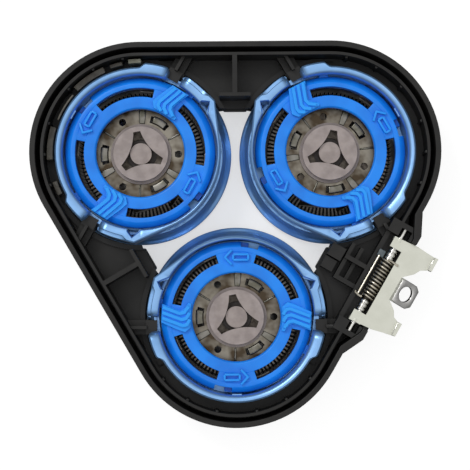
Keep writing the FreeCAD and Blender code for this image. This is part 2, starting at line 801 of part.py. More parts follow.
def make_ear(side):
    """Ear bent round the pin at one end of the plate."""
    start = min(side * plate_half_length, side * ear_end)
    lobe = Part.makeCylinder(ear_lobe_radius, ear_thickness,
                             FreeCAD.Vector(hinge_out, start, hinge_axis_z), FreeCAD.Vector(0, 1, 0))
    web = block(hinge_out - ear_inner_reach, hinge_out + ear_lobe_radius,
                start, start + ear_thickness, hinge_axis_z, plate_top_z)
    return [lobe, web]


def make_hinge_plate():
    half = plate_half_length
    inner = hinge_out - ear_inner_reach
    tab_out = tab_half_span + tab_width / 2
    tab_in = tab_half_span - tab_width / 2
    flank = [(plate_notch_edge, plate_notch_half),
             (plate_shoulder, plate_notch_half + plate_shoulder_rise),
             (plate_shoulder + plate_corner_cut, tab_in - plate_corner_cut),
             (plate_outer - plate_thickness, tab_in), (plate_outer, tab_in),
             (plate_outer, tab_out), (plate_shoulder, half - plate_corner_cut / 2),
             (plate_notch_edge, half), (inner, half)]
    upper = [skewed(x, y) for x, y in flank]
    lower = [skewed(x, -y) for x, y in flank]
    window = [(inner, -plate_half_window), (coil_edge, -plate_half_window),
              (coil_edge, plate_half_window), (inner, plate_half_window)]
    sheet = prism(upper + window[::-1] + lower[::-1], plate_z, plate_top_z)
    pieces = [sheet, make_loop()]
    for side in (-1, 1):
        pieces += make_ear(side) + [make_tab(side)]
    bore = Part.makeCylinder(pin_radius + pin_clearance, far,
                             FreeCAD.Vector(hinge_out, -far / 2, hinge_axis_z), FreeCAD.Vector(0, 1, 0))
    return moved(fused(pieces).cut(bore), y=hinge_shift)


def make_loop():
    """Catch loop bent down from the plate's notch."""
    root = loop_root_half
    tip = loop_length
    start = -plate_thickness / 2
    outer = prism([(start, -root), (tip - loop_chamfer, -root), (tip, -loop_half_outer),
                   (tip, loop_half_outer), (tip - loop_chamfer, root), (start, root)],
                  0, plate_thickness)
    hole_half = root - loop_bar
    hole = block(loop_bar, tip - loop_bar, -hole_half, hole_half, -plate_thickness, 2 * plate_thickness)
    loop = outer.cut(hole)
    loop.rotate(FreeCAD.Vector(0, 0, 0), FreeCAD.Vector(0, 1, 0), loop_drop_angle)
    return moved(loop, plate_notch_edge, skewed(plate_notch_edge, 0)[1], plate_z)


def make_hinge_pin():
    half = cheek_far - pin_end_gap
    return pin_along(pin_radius, -half, half)


def make_bush(side):
    start = coil_half_length + bush_gap
    end = start + bush_length
    bush = pin_along(bush_radius, min(side * start, side * end), max(side * start, side * end))
    return bush.cut(pin_along(pin_radius + pin_clearance, -far, far))


def make_torsion_spring():
    """One wire: a short leg on the plate, a close coil and a straight leg along the frame."""
    half = coil_half_length - wire_radius
    lift = plate_top_z - hinge_axis_z + wire_radius
    route = [FreeCAD.Vector(coil_radius + short_leg, half, lift),
             FreeCAD.Vector(coil_radius, half, lift)]
    steps = round(coil_turns * coil_facets)
    for i in range(steps + 1):
        around = at(coil_radius, -360 * coil_turns * i / steps)
        route.append(FreeCAD.Vector(around.x, half - 2 * half * i / steps, around.y))
    route += [FreeCAD.Vector(-leg_out, -half, 0), FreeCAD.Vector(-leg_out, long_leg - half, 0)]
    corners = [route[0] + FreeCAD.Vector(0, y * wire_radius, z * wire_radius)
               for y, z in ((1, 0), (0, 1), (-1, 0), (0, -1))]
    section = Part.makePolygon(corners + corners[:1])
    wire = Part.makePolygon(route).makePipeShell([section], True, False, 1)
    return moved(wire, hinge_out, hinge_shift, hinge_axis_z)


def write(node, shape):
    shape = shape.copy()
    shape.translate(to_origin)
    shape.exportStep("parts/" + node + ".step")
    print(node, shape.ShapeType, len(shape.Solids), shape.isValid(), round(shape.Volume, 2))


os.makedirs("parts", exist_ok=True)
write("outer_shell", make_outer_shell())
write("support_frame", make_support_frame())
still_makers = {"head_ring": make_head_ring, "guard_cap": make_guard_cap,
                "retaining_ring": make_retaining_ring}
rotor_makers = {"lifter": make_lifter, "cutter": make_cutter, "cutter_hub": make_hub}
for kind, maker in (still_makers | rotor_makers).items():
    piece = maker()
    for name, angle in head_angles.items():
        centre = at(pitch_radius, angle)
        parked = rotor_angles[name] if kind in rotor_makers else 0.0
        write(kind + "_" + name, moved(turned(piece, angle - 270 + parked), centre.x, centre.y))
write("hinge_plate", on_hinge_side(make_hinge_plate()))
write("hinge_pin", on_hinge_side(make_hinge_pin()))
write("upper_spring_bush", on_hinge_side(make_bush(1)))
write("lower_spring_bush", on_hinge_side(make_bush(-1)))
write("torsion_spring", on_hinge_side(make_torsion_spring()))
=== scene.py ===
import math

import bmesh
import bpy
from mathutils import Matrix, Vector


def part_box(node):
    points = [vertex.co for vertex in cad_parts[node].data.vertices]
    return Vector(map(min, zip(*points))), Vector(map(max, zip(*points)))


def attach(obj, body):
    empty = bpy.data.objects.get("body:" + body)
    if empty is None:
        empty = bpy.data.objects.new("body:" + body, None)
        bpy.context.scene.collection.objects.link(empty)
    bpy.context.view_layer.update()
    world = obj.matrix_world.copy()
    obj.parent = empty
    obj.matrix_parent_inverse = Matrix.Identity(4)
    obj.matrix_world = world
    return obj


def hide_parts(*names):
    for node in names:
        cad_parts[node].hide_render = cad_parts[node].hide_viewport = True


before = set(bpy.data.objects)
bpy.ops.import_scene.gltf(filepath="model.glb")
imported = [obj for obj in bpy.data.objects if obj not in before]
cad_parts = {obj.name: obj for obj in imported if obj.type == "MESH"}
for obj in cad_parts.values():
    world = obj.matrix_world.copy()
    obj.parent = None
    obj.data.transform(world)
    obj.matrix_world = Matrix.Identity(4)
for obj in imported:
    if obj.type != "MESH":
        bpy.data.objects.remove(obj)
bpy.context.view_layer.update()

# Camera. The unit lies on its shaving faces and is seen from straight above, a little
# nearer the front head, from about four times its own width.
mm = 0.001
rim_height = 11.5
eye = Vector((0.0, -10.0, rim_height + 255.0)) * mm
view_centre = Vector((-0.13, -0.2, rim_height)) * mm
view_width = 72.85 * mm
view_roll = math.radians(-0.4)
sensor_width = 36.0
nearest_seen = 10.0 * mm

camera_data = bpy.data.cameras.new("camera")
camera_data.sensor_width = sensor_width
camera_data.lens = sensor_width * (view_centre - eye).length / view_width
camera_data.clip_start = nearest_seen
camera = bpy.data.objects.new("camera", camera_data)
backward = (eye - view_centre).normalized()
sideways = Matrix.Rotation(view_roll, 3, "Z") @ Vector((1, 0, 0))
upward = backward.cross(sideways).normalized()
camera.matrix_world = Matrix((upward.cross(backward), upward, backward)).transposed().to_4x4()
camera.matrix_world.translation = eye
bpy.context.scene.collection.objects.link(camera)
bpy.context.scene.camera = camera
bpy.context.scene.view_settings.view_transform = "Standard"

# Light. A pale sky that is brightest overhead, as in a light tent, and one soft lamp from
# the upper left that draws the highlights on the lacquer and the steel.
sky_stops = ((0.0, 0.12), (0.55, 0.42), (0.93, 1.12))
lamp_place = Vector((-0.2, 0.24, 0.42))
lamp_size = 0.16
lamp_power = 0.7


def graded(tree, value, stops):
    """A colour ramp over a value, from stops of (position, colour)."""
    ramp = tree.nodes.new("ShaderNodeValToRGB")
    elements = ramp.color_ramp.elements
    for element, (position, colour) in zip(elements, (stops[0], stops[-1])):
        element.position = position
        element.color = colour
    for position, colour in stops[1:-1]:
        elements.new(position).color = colour
    tree.links.new(value, ramp.inputs[0])
    return ramp.outputs[0]


world = bpy.data.worlds.new("light_tent")
bpy.context.scene.world = world
world.use_nodes = True
tree = world.node_tree
coordinate = tree.nodes.new("ShaderNodeTexCoord")
split = tree.nodes.new("ShaderNodeSeparateXYZ")
tree.links.new(coordinate.outputs["Generated"], split.inputs[0])
sky_colours = [(position, (tone, tone, tone, 1)) for position, tone in sky_stops]
sky = graded(tree, split.outputs["Z"], sky_colours)
tree.links.new(sky, tree.nodes["Background"].inputs["Color"])

lamp_data = bpy.data.lights.new("soft_lamp", "AREA")
lamp_data.shape = "DISK"
lamp_data.size = lamp_size
lamp_data.energy = lamp_power
lamp = bpy.data.objects.new("soft_lamp", lamp_data)
lamp_turn = (-lamp_place).to_track_quat("-Z", "Y").to_matrix().to_4x4()
lamp.matrix_world = Matrix.Translation(lamp_place) @ lamp_turn
bpy.context.scene.collection.objects.link(lamp)

# Table. A plain white sheet that shows white to the camera. Under the three caps and the
# deck, where no light comes in, a shadow is painted on it, and so the slots of the caps are
# dark too. In the opening between the heads its glow is dimmed, a painted shade, and in
# reflections it shows only a dim grey glow, a painted shade too.
table_half = 1.2
table_shade = 0.9
table_rough = 0.9
table_specular = 0.1
table_glow = 0.7
glow_strength = 1.2
reflection_painted_shade = 0.1
opening_painted_shade_glow = 0.66
shadow_shade = 0.04
cap_shadow_radius = 10.6
deck_shadow_radius = 15.3
deck_shadow_start = 16.2


def new_finish(name):
    """A material with its node tree and its shader."""
    finish = bpy.data.materials.new(name)
    finish.use_nodes = True
    shader = finish.node_tree.nodes["Principled BSDF"]
    return finish, finish.node_tree, shader


def middle(node):
    """Middle of a CAD node's box."""
    low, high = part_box(node)
    return (low + high) / 2


unit_middle = sum((middle("guard_cap_" + head) for head in "abc"), Vector()) / 3


def math_node(tree, operation, first, second):
    """A node that joins two sockets or numbers."""
    node = tree.nodes.new("ShaderNodeMath")
    node.operation = operation
    for socket, value in zip(node.inputs, (first, second)):
        if isinstance(value, (int, float)):
            socket.default_value = value
        else:
            tree.links.new(value, socket)
    return node.outputs[0]


def table_finish():
    """White sheet with painted shadows of the caps and the deck, a glow for the camera that is dimmed in
    the opening as painted shade, and a dim painted shade in reflections.
    """
    finish, tree, shader = new_finish("white_sheet")
    shader.inputs["Roughness"].default_value = table_rough
    shader.inputs["Specular IOR Level"].default_value = table_specular
    coordinate = tree.nodes.new("ShaderNodeTexCoord")
    path = tree.nodes.new("ShaderNodeLightPath")

    def distance(centre):
        gap = tree.nodes.new("ShaderNodeVectorMath")
        gap.operation = "DISTANCE"
        gap.inputs[1].default_value = (centre.x, centre.y, 0)
        tree.links.new(coordinate.outputs["Object"], gap.inputs[0])
        return gap.outputs["Value"]

    under_deck = math_node(tree, "GREATER_THAN", distance(unit_middle), deck_shadow_start * mm)
    wider = math_node(tree, "MULTIPLY", under_deck, (deck_shadow_radius - cap_shadow_radius) * mm)
    reach = math_node(tree, "ADD", wider, cap_shadow_radius * mm)
    open_sheet = 1.0
    for head in "abc":
        lit = math_node(tree, "GREATER_THAN", distance(middle("guard_cap_" + head)), reach)
        open_sheet = math_node(tree, "MULTIPLY", open_sheet, lit)
    shade = math_node(tree, "MULTIPLY", open_sheet, table_shade - shadow_shade)
    tree.links.new(math_node(tree, "ADD", shade, shadow_shade), shader.inputs["Base Color"])
    # Painted shade: in the opening between the heads the camera's glow is dimmed.
    outside = math_node(tree, "MULTIPLY", under_deck, 1 - opening_painted_shade_glow)
    dimmed = math_node(tree, "ADD", outside, opening_painted_shade_glow)
    open_sheet = math_node(tree, "MULTIPLY", open_sheet, dimmed)
    seen = math_node(tree, "MULTIPLY", path.outputs["Is Camera Ray"], open_sheet)
    seen = math_node(tree, "MULTIPLY", seen, table_glow)
    surface = shader.outputs[0]
    # The camera sees the glow; reflections see only a dim grey glow, a painted shade.
    for share, strength in ((seen, glow_strength), (path.outputs["Is Glossy Ray"], reflection_painted_shade)):
        glow = tree.nodes.new("ShaderNodeEmission")
        glow.inputs["Strength"].default_value = strength
        mix = tree.nodes.new("ShaderNodeMixShader")
        tree.links.new(share, mix.inputs[0])
        tree.links.new(surface, mix.inputs[1])
        tree.links.new(glow.outputs[0], mix.inputs[2])
        surface = mix.outputs[0]
    tree.links.new(surface, tree.nodes["Material Output"].inputs["Surface"])
    return finish


table_mesh = bpy.data.meshes.new("table")
sheet = bmesh.new()
bmesh.ops.create_grid(sheet, x_segments=1, y_segments=1, size=table_half)
sheet.to_mesh(table_mesh)
sheet.free()
table = bpy.data.objects.new("table", table_mesh)
table_mesh.materials.append(table_finish())
bpy.context.scene.collection.objects.link(table)

# Outer shell. One black glass-filled moulding with a rounded rim: its edges are rounded
# as the mould leaves them, and its faces have a fine spark-eroded grain.
shell_edge = 0.12
sharp_angle = math.radians(38)
flat_angle = math.radians(1)
weld_distance = 0.0005
tone_positions = (0.35, 0.65)
grain_strength = 0.6
moulded_grain = (0.12, 0.006)
black_tones = ((0.006, 0.0057, 0.0053, 1), (0.013, 0.0122, 0.011, 1))


def noise_over(tree, size):
    """Soft noise that is fixed to the piece, over a size in millimetres."""
    coordinate = tree.nodes.new("ShaderNodeTexCoord")
    noise = tree.nodes.new("ShaderNodeTexNoise")
    noise.inputs["Scale"].default_value = 1 / (size * mm)
    tree.links.new(coordinate.outputs["Object"], noise.inputs["Vector"])
    return noise.outputs["Fac"]


def worked_finish(name, tones, size, rough, values, grain=None):
    """A finish whose tone and roughness wander over a size, with a grain of (size, height)."""
    finish, tree, shader = new_finish(name)
    noise = noise_over(tree, size)
    tone = graded(tree, noise, tuple(zip(tone_positions, tones)))
    tree.links.new(tone, shader.inputs["Base Color"])
    spread = tree.nodes.new("ShaderNodeMapRange")
    smoothest, roughest = rough
    spread.inputs["To Min"].default_value = smoothest
    spread.inputs["To Max"].default_value = roughest
    tree.links.new(noise, spread.inputs["Value"])
    tree.links.new(spread.outputs["Result"], shader.inputs["Roughness"])
    if grain:
        fine, height = grain
        bump = tree.nodes.new("ShaderNodeBump")
        bump.inputs["Distance"].default_value = height * mm
        bump.inputs["Strength"].default_value = grain_strength
        tree.links.new(noise_over(tree, fine), bump.inputs["Height"])
        tree.links.new(bump.outputs["Normal"], shader.inputs["Normal"])
    for socket, value in values.items():
        shader.inputs[socket].default_value = value
    return finish


def moulding(name, tones, size, rough, specular):
    """Moulded plastic."""
    return worked_finish(name, tones, size, rough, {"Specular IOR Level": specular}, moulded_grain)


def rounded(piece, edge):
    """Rounds the edges of a piece by a width in millimetres."""
    bevel = piece.modifiers.new("rounded_edges", "BEVEL")
    bevel.width = edge * mm
    bevel.segments = 2
    bevel.limit_method = "ANGLE"
    bevel.angle_limit = sharp_angle
    bevel.use_clamp_overlap = True
    normals = piece.modifiers.new("even_normals", "WEIGHTED_NORMAL")
    normals.keep_sharp = True


def whole(node):
    """Copy of a CAD node with its triangles joined into whole faces."""
    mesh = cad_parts[node].data.copy()
    mesh.name = node + "_finished"
    mesh.materials.clear()
    solid = bmesh.new()
    solid.from_mesh(mesh)
    bmesh.ops.remove_doubles(solid, verts=solid.verts, dist=weld_distance * mm)
    bmesh.ops.dissolve_limit(solid, angle_limit=flat_angle, verts=solid.verts, edges=solid.edges)
    for face in solid.faces:
        face.smooth = True
    solid.to_mesh(mesh)
    solid.free()
    piece = bpy.data.objects.new(node + "_finished", mesh)
    bpy.context.scene.collection.objects.link(piece)
    return piece


def softened(node, edge):
    """Copy of a CAD node with its edges rounded by a width in millimetres."""
    piece = whole(node)
    rounded(piece, edge)
    return piece


def fitted(piece, body, finish, slot, *nodes):
    """Gives a finished piece its material and its body, and hides the CAD nodes that it stands for."""
    piece.data.materials.clear()
    piece.data.materials.append(finish)
    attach(piece, body)
    for node in nodes:
        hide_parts(node)


black = moulding("black_moulding", black_tones, size=3.0, rough=(0.36, 0.5), specular=0.32)
fitted(softened("outer_shell", shell_edge), "frame", black, "frame_black", "outer_shell")

# Support frame. The second black moulding inside the shell, with its thin wall, T ribs,
# the six arms with the pivot pins of the heads, and the boss of the hinge.
frame_edge = 0.06
fitted(softened("support_frame", frame_edge), "frame", black, "frame_black", "support_frame")

# Snap pads. Curved pads and strips of the same moulding, painted paler as painted light on
# lit faces, that stand on the deck round head a between the frame's wall and the holder.
# One of them is a pale clip.
pad_sizes = (((13.75, 14.7), (233, 255), 8.9), ((13.62, 13.9), (259, 278), 9.8),
             ((13.75, 14.7), (283, 304), 8.6), ((13.8, 14.6), (318, 327), 8.0),
             ((14.1, 14.7), (221, 229), 8.4))
clip_size = ((14.05, 14.7), (209, 217), 9.6)
pad_foot = 5.4
pad_edge = 0.08
pad_painted_light_tones = ((0.07, 0.063, 0.052, 1), (0.12, 0.11, 0.09, 1))
clip_tones = ((0.17, 0.17, 0.13, 1), (0.25, 0.25, 0.2, 1))
arc_step = 3.0


def polar(radius, angle, z=0.0):
    """Point at a radius and an angle in degrees about the Z axis."""
    turn = math.radians(angle)
    return Vector((radius * math.cos(turn), radius * math.sin(turn), z))


def swept(shape, rows, closed=False):
    """Skin through rows of points, each row a closed loop; open ends get a face."""
    loops = [[shape.verts.new(point) for point in row] for row in rows]
    pairs = list(zip(loops, loops[1:]))
    if closed:
        pairs.append((loops[-1], loops[0]))
    for near, ahead in pairs:
        for i in range(len(near)):
            j = (i + 1) % len(near)
            shape.faces.new((near[i], near[j], ahead[j], ahead[i]))
    if not closed:
        shape.faces.new(loops[0][::-1])
        shape.faces.new(loops[-1])


def arc_bar(shape, radii, span, heights):
    """Curved bar about the Z axis between two angles; a full turn closes on itself."""
    (inner, outer), (start, end), (low, high) = radii, span, heights
    count = max(1, math.ceil((end - start) / arc_step))
    full = end - start >= 360
    rows = []
    for i in range(count if full else count + 1):
        angle = start + (end - start) * i / count
        rows.append([polar(inner, angle, low), polar(outer, angle, low),
                     polar(outer, angle, high), polar(inner, angle, high)])
    swept(shape, rows, full)


def head_place(head, parked=0.0):
    """Placement of a head's millimetres: its +Y points to the middle of the unit."""
    centre = middle("guard_cap_" + head)
    inward = unit_middle - centre
    turn = math.atan2(inward.y, inward.x) - math.radians(90 - parked)
    spot = Matrix.Translation((centre.x, centre.y, 0))
    return spot @ Matrix.Rotation(turn, 4, "Z") @ Matrix.Scale(mm, 4)


def mark_sharp(shape):
    """Marks the edges that stay sharp in the shading."""
    for edge in shape.edges:
        edge.smooth = edge.calc_face_angle(math.pi) < sharp_angle


def new_piece(name, shape, place, edge_width=0.0):
    """Object from a shape in millimetres, put in its place."""
    bmesh.ops.recalc_face_normals(shape, faces=shape.faces)
    shape.transform(place)
    for face in shape.faces:
        face.smooth = True
    if not edge_width:
        mark_sharp(shape)
    mesh = bpy.data.meshes.new(name)
    shape.to_mesh(mesh)
    shape.free()
    piece = bpy.data.objects.new(name, mesh)
    bpy.context.scene.collection.objects.link(piece)
    if edge_width:
        rounded(piece, edge_width)
    return piece


def pads_on_deck(name, sizes, finish):
    """Curved pads of (radii, span, top) that stand on the deck round head a."""
    pads = bmesh.new()
    for radii, span, top in sizes:
        arc_bar(pads, radii, span, (pad_foot, top))
    fitted(new_piece(name, pads, head_place("a"), pad_edge), "frame", finish, "frame_black")


# Paler tone of the pads: painted light, for faces that catch the light.
painted_light_pads = moulding("painted_light_pad_moulding", pad_painted_light_tones, size=1.2, rough=(0.4, 0.55), specular=0.35)
pads_on_deck("snap_pads", pad_sizes, painted_light_pads)
pale = moulding("pale_clip", clip_tones, size=1.0, rough=(0.4, 0.55), specular=0.35)
pads_on_deck("snap_clip", (clip_size,), pale)

# Pivot tips. The flat black tips of the six arms, which lie in the holders' gaps over the
# pivot pins and under the lugs.
tip_reach = (12.4, 14.2)
tip_sides = (-2.6, -0.4)
tip_heights = (8.15, 8.36)


def column(shape, outline, heights):
    """Straight-sided column over an outline of (x, y)."""
    swept(shape, [[Vector((x, y, z)) for x, y in outline] for z in heights])


def block(shape, across, along, heights):
    """Rectangular block between two values of X, of Y and of Z."""
    (near, away), (first, last) = across, along
    column(shape, ((near, first), (away, first), (away, last), (near, last)), heights)


for head in "abc":
    tips = bmesh.new()
    for side in (-1, 1):
        block(tips, [side * reach for reach in tip_reach], tip_sides, tip_heights)
    fitted(new_piece("pivot_tips_" + head, tips, head_place(head)), "frame", black, "frame_black")

# Lip ends. Short ends of the deck's lip round each head, where it runs up to the lugs.
lip_radii = (13.5, 14.6)
lip_heights = (5.0, 5.6)
lip_spans = ((207.2, 213), (327, 332.8))
for head in "abc":
    lips = bmesh.new()
    for span in lip_spans:
        arc_bar(lips, lip_radii, span, lip_heights)
    fitted(new_piece("lip_ends_" + head, lips, head_place(head)), "frame", black, "frame_black")

# Head holder rings. Moulded rings lacquered in metallic blue: a flared skirt, and a wall
# whose rim is chamfered towards the bore. The four lugs of the rim roll down to the pivot
# gaps, and each corner on the inner side has a three-cornered notch.
skirt_edge = 0.1
skirt_curve = ((12.15, 4.15), (10.5, 4.15), (10.5, 0.5), (13.5, 0.5), (14.15, 1.25), (14.3, 1.45),
               (14.3, 1.58), (14.15, 1.68), (13.85, 1.78), (13.55, 1.95), (13.3, 2.3), (13.12, 2.9),
               (13.0, 3.6), (12.92, 4.4), (12.15, 4.4))
holder_bore = 12.15
holder_top = 10.2
wall_foot = 4.35
rim_foot = 8.6
rim_sink = 0.1
rim_edge = 0.12
shoulder_inset = 0.1
ledge_inset = 0.14
ledge_rise = 0.02
brow_inset = 0.03
brow_drop = 0.08
lug_roll = 1.5
outer_side = (189.4, 350.6)
inner_side = (0.25, 179.75)
outer_stops = ((9.4, 13.4), (10.4, 13.84), (11.6, 14.0), (26.0, 14.0), (27.0, 13.88), (28.2, 13.6),
               (29.6, 13.38), (31.0, 13.3), (90, 13.3))
inner_stops = ((0.25, 13.5), (1.2, 13.84), (2.4, 14.0), (12.5, 14.0), (26.0, 14.3), (53.8, 12.65),
               (90, 12.65))
notch_stops = ((0, 12.15), (20.4, 12.15), (20.5, 12.45), (24.5, 13.4), (31.0, 12.15), (90, 12.15))
plain_stops = ((0, holder_bore), (90, holder_bore))
shelf_radius = 13.4
shelf_drop = 0.75
shelf_end = 18.0
shelf_fade = 3.0
outer_chamfer = 0.5
inner_chamfer = 0.2
widest_chamfer = 0.45
chamfer_bend = (0.4, 0.45)
lug_step = 0.6
lug_steps = 12
nearest_step = 0.09
skirt_step = 3
tooth_radii = (11.97, 12.35)
tooth_span = (266.5, 273.5)
tooth_heights = (8.0, 9.3)
lacquer_tones = ((0.19, 0.385, 0.70, 1), (0.24, 0.45, 0.78, 1))


def between_stops(stops, angle):
    """Radius at an angle on straight lines between stops of (angle, radius)."""
    for (start, near), (end, ahead) in zip(stops, stops[1:]):
        if start <= angle <= end and near != ahead:
            first = math.sin(math.radians(angle - start))
            second = math.sin(math.radians(end - angle))
            both = math.sin(math.radians(end - start))
            return near * ahead * both / (near * first + ahead * second)
        if start <= angle <= end:
            return near
    return stops[0][1]


def rim_row(angle, span, stops, bore_stops, shelf, chamfer):
    """Section of the rim at an angle, as a closed loop of points."""
    from_gap = min(angle - span[0], span[1] - angle)
    folded = stops[0][0] + from_gap
    outer = between_stops(stops, folded)
    bore = between_stops(bore_stops, folded)
    rolled = min(1.0, math.radians(from_gap) * outer / lug_roll)
    top = holder_top - lug_roll * (1 - math.sqrt(1 - (1 - rolled) ** 2))
    in_shelf = 0.0
    if shelf:
        in_shelf = min(1.0, max(0.0, (shelf_end + shelf_fade - folded) / shelf_fade))
    ledge = outer - ledge_inset + (shelf_radius - outer + ledge_inset) * in_shelf
    low = max(rim_foot, top - rim_edge - (shelf_drop - rim_edge) * in_shelf)
    cut = min(chamfer, (outer - bore) * widest_chamfer)
    bend_across, bend_down = chamfer_bend
    foot = rim_foot - rim_sink
    return [polar(radius, angle, z) for radius, z in (
        (bore, foot), (outer, foot), (outer, max(rim_foot, low - rim_edge)),
        (outer - shoulder_inset, low), (ledge, low + ledge_rise),
        (ledge - brow_inset, top - brow_drop), (ledge - rim_edge, top), (bore + cut, top),
        (bore + cut * bend_across, top - cut * bend_down), (bore, top - cut))]


def rim_side(span, stops, bore_stops, shelf, chamfer):
    """The rim of one side of the wall, between the two pivot gaps."""
    first = stops[0][0]
    half = (span[1] - span[0]) / 2
    offsets = {angle - first for angle, radius in stops + bore_stops if 0 <= angle - first <= half}
    offsets |= {lug_step * i for i in range(lug_steps)}
    offsets |= {arc_step * i for i in range(2, int(half / arc_step) + 1)}
    kept = [0.0]
    for offset in sorted(offsets | {half}):
        if offset - kept[-1] > nearest_step:
            kept.append(offset)
    angles = [span[0] + offset for offset in kept] + [span[1] - offset for offset in kept[-2::-1]]
    shape = bmesh.new()
    swept(shape, [rim_row(angle, span, stops, bore_stops, shelf, chamfer) for angle in angles])
    return shape


def holder_wall(node):
    """Copy of a holder, cut down to the plain wall between skirt and rim."""
    wall = whole(node)
    solid = bmesh.new()
    solid.from_mesh(wall.data)
    for height, side in ((wall_foot, -1), (rim_foot, 1)):
        geometry = list(solid.verts) + list(solid.edges) + list(solid.faces)
        cut = bmesh.ops.bisect_plane(solid, geom=geometry, plane_co=(0, 0, height * mm),
                                     plane_no=(0, 0, side), clear_outer=True)
        loop = [item for item in cut["geom_cut"] if isinstance(item, bmesh.types.BMEdge)]
        bmesh.ops.triangle_fill(solid, use_beauty=True, edges=loop)
    bmesh.ops.recalc_face_normals(solid, faces=solid.faces)
    mark_sharp(solid)
    solid.to_mesh(wall.data)
    solid.free()
    return wall


lacquer = worked_finish("blue_lacquer", lacquer_tones, size=3.0, rough=(0.3, 0.38),
                        values={"Metallic": 0.76, "Coat Weight": 0.35, "Coat Roughness": 0.2})
skirt_angles = range(0, 360, skirt_step)
for head in "abc":
    node = "head_ring_" + head
    place = head_place(head)
    skirt = bmesh.new()
    swept(skirt, [[polar(radius, angle, z) for radius, z in skirt_curve] for angle in skirt_angles],
          closed=True)
    outer_rim = rim_side(outer_side, outer_stops, plain_stops, False, outer_chamfer)
    inner_rim = rim_side(inner_side, inner_stops, notch_stops, True, inner_chamfer)
    tooth = bmesh.new()
    arc_bar(tooth, tooth_radii, tooth_span, tooth_heights)
    for piece in (holder_wall(node),
                  new_piece("skirt_" + head, skirt, place, skirt_edge),
                  new_piece("outer_rim_" + head, outer_rim, place),
                  new_piece("inner_rim_" + head, inner_rim, place),
                  new_piece("detent_" + head, tooth, place)):
        fitted(piece, "head_" + head, lacquer, "holder_blue", node)

# Guard caps. Stamped and ground steel cups: a flat track with fine slots that run on
# round its edge, four ears on the rim, and the centre pin that the hub turns on. Above
# their outer face they are painted darker, a painted shade inside the cups.
cap_wall = 0.3
cap_slots = 96
slot_share = 0.58
cap_curve = ((10.45, 4.8), (10.3, 3.3), (10.22, 0.35), (9.95, 0.04), (9.7, 0.0), (6.5, 0.0),
             (6.2, 0.12), (5.8, 0.2), (1.0, 0.2))
slotted_bands = (1, 2, 3, 4)
ear_starts = (-9, 81, 171, 261)
ear_span = 40
ear_radii = (10.0, 11.5)
ear_heights = (4.15, 4.8)
ear_edge = 0.06
pin_radius = 1.2
pin_sides = 24
pin_heights = (cap_wall, 1.8)
cap_tones = ((0.34, 0.31, 0.28, 1), (0.62, 0.58, 0.54, 1))
cap_painted_shade = (0.2, 0.19, 0.175, 1)
cap_shade_heights = (0.1, 0.25)
ground_grain = (0.07, 0.0015)


def circle(radius, sides, centre=Vector()):
    """Outline of a circle as (x, y) points."""
    rim = [polar(radius, 360 * i / sides) for i in range(sides)]
    return [(centre.x + point.x, centre.y + point.y) for point in rim]


def slotted_cup():
    """Outer skin of the cap: ribs and slots by turns, open where a slot is."""
    shape = bmesh.new()
    pitch = 360 / cap_slots
    angles = [pitch * i + shift for i in range(cap_slots) for shift in (0, pitch * (1 - slot_share))]
    rows = [[shape.verts.new(polar(radius, angle, z)) for radius, z in cap_curve] for angle in angles]
    for i, row in enumerate(rows):
        ahead = rows[(i + 1) % len(rows)]
        for band in range(len(cap_curve) - 1):
            if i % 2 and band in slotted_bands:
                continue
            shape.faces.new((row[band], row[band + 1], ahead[band + 1], ahead[band]))
    shape.faces.new([row[-1] for row in rows])
    return shape


def steel_finish(name, tones, size, rough):
    """Bare metal with a fine grain."""
    return worked_finish(name, tones, size, rough, {"Metallic": 1.0}, ground_grain)


def shade_by_height(finish, tone, heights):
    """Mixes a tone in, from the first height in millimetres to the second: painted shade or painted light
    by height.
    """
    tree = finish.node_tree
    shader = tree.nodes["Principled BSDF"]
    plain = shader.inputs["Base Color"].links[0].from_socket
    coordinate = tree.nodes.new("ShaderNodeTexCoord")
    split = tree.nodes.new("ShaderNodeSeparateXYZ")
    tree.links.new(coordinate.outputs["Object"], split.inputs[0])
    depth = tree.nodes.new("ShaderNodeMapRange")
    for socket, height in zip(("From Min", "From Max"), heights):
        depth.inputs[socket].default_value = height * mm
    tree.links.new(split.outputs["Z"], depth.inputs["Value"])
    mix = tree.nodes.new("ShaderNodeMixRGB")
    mix.inputs["Color2"].default_value = tone
    tree.links.new(depth.outputs["Result"], mix.inputs["Fac"])
    tree.links.new(plain, mix.inputs["Color1"])
    tree.links.new(mix.outputs["Color"], shader.inputs["Base Color"])


steel = steel_finish("ground_steel", cap_tones, size=0.6, rough=(0.24, 0.36))
# Painted shade: the steel darkens from 0.1 mm up, as shade inside the cup.
shade_by_height(steel, cap_painted_shade, cap_shade_heights)
for head in "abc":
    node = "guard_cap_" + head
    place = head_place(head)
    cup = new_piece("cap_cup_" + head, slotted_cup(), place)
    wall = cup.modifiers.new("sheet", "SOLIDIFY")
    wall.thickness = cap_wall * mm
    wall.offset = -1
    wall.use_even_offset = True
    fitted(cup, "head_" + head, steel, "cap_steel", node)
    ears = bmesh.new()
    for start in ear_starts:
        arc_bar(ears, ear_radii, (start, start + ear_span), ear_heights)
    column(ears, circle(pin_radius, pin_sides), pin_heights)
    ears = new_piece("cap_ears_" + head, ears, place, ear_edge)
    fitted(ears, "head_" + head, steel, "cap_steel", node)

